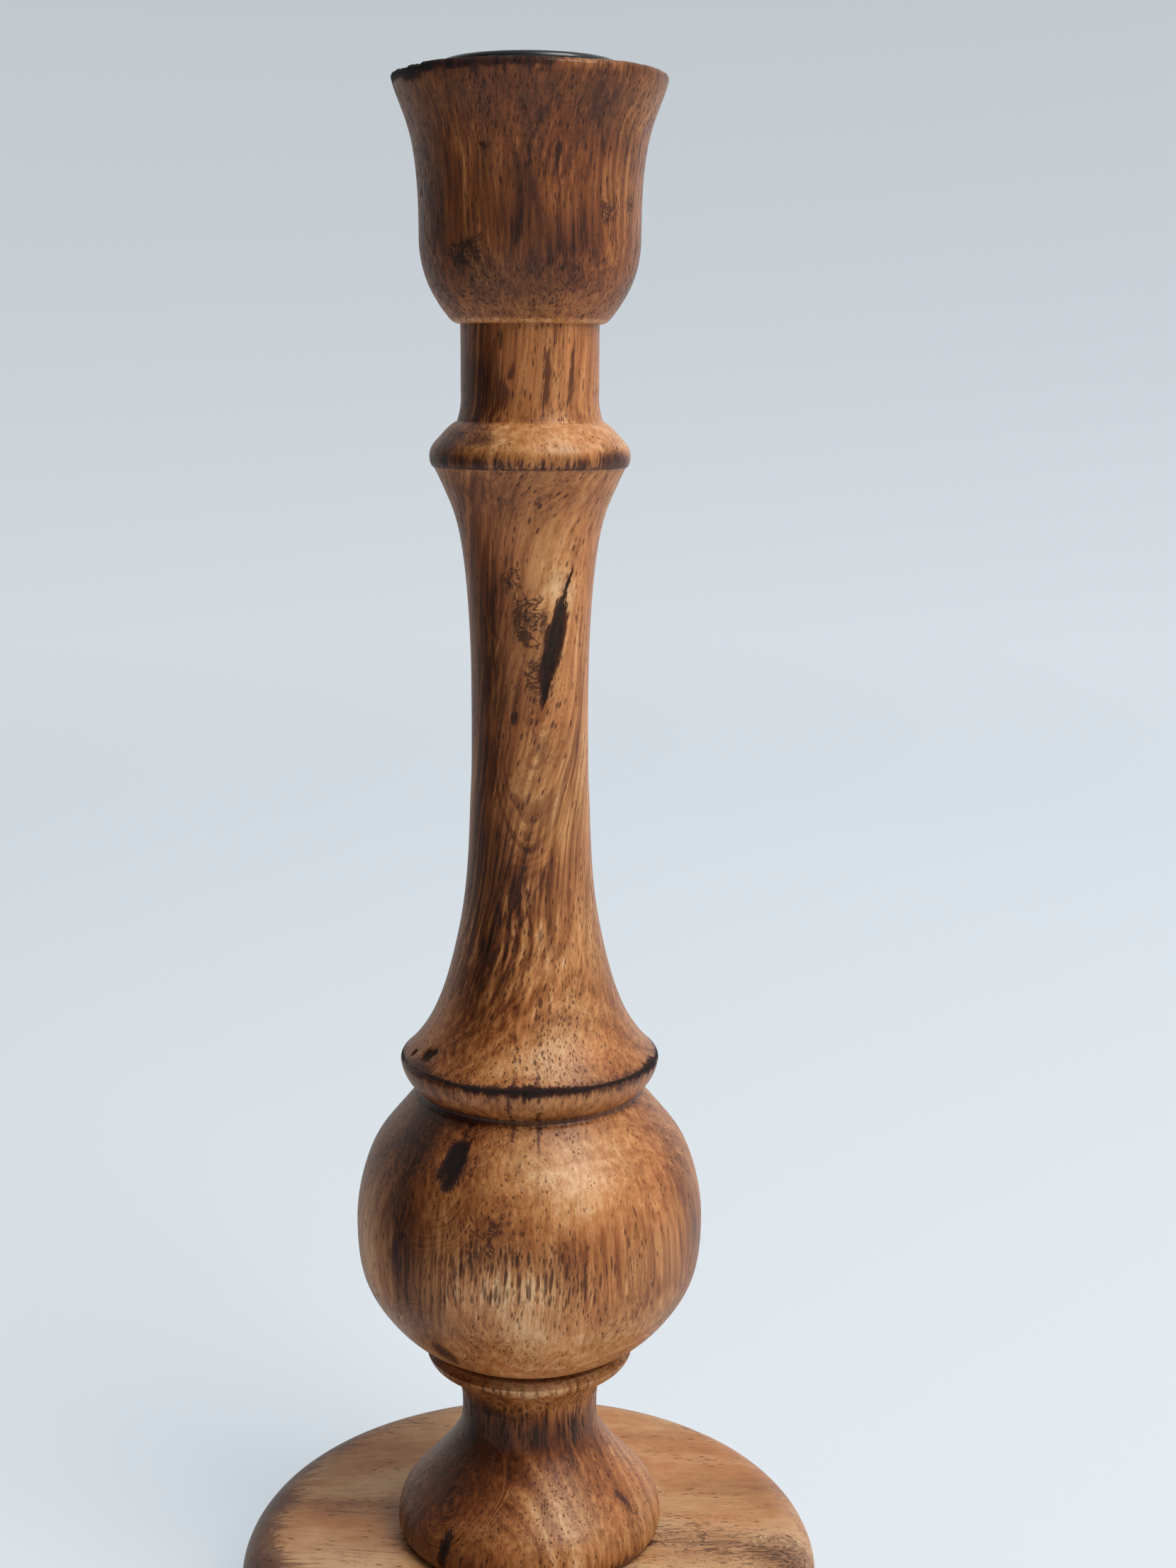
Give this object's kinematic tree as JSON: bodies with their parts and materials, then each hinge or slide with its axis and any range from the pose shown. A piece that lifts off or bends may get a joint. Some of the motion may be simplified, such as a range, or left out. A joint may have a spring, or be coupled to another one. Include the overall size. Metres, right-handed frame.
{
  "type": "candlestick",
  "caption": "Turned wooden candlestick with a round base, a ball and a slim shaft, and a metal-lined cup for one taper candle.",
  "frame": {"origin": "the middle of the underside of the felt pad, on the surface that the candlestick stands on", "axes": "+Z is the turning axis, up towards the candle; the turned shape is the same all round, and -Y is the side that carries the shaft's long dark check"},
  "size_m": [0.129, 0.129, 0.3372],
  "materials": {
    "base_wood": "satin",
    "foot_wood": "satin",
    "stem_wood": "satin",
    "neck_wood": "satin",
    "cup_wood": "satin",
    "dowel_wood": "matte",
    "black_lacquer": "gloss",
    "zinc_plate": "satin",
    "felt": "matte"
  },
  "bodies": {
    "candlestick": {"base_felt_pad": "felt", "base_disc": "base_wood", "base_washer": "zinc_plate", "base_screw": "zinc_plate", "foot": "foot_wood", "foot_dowel": "dowel_wood", "stem": "stem_wood", "neck_dowel": "dowel_wood", "neck": "neck_wood", "cup": "cup_wood"},
    "insert": {"candle_insert": "black_lacquer"}
  },
  "joints": [
    {"name": "insert_lift", "type": "slide", "parent": "candlestick", "child": "insert", "axis": [0, 0, 1], "range_m": [0, 0.04]}
  ]
}
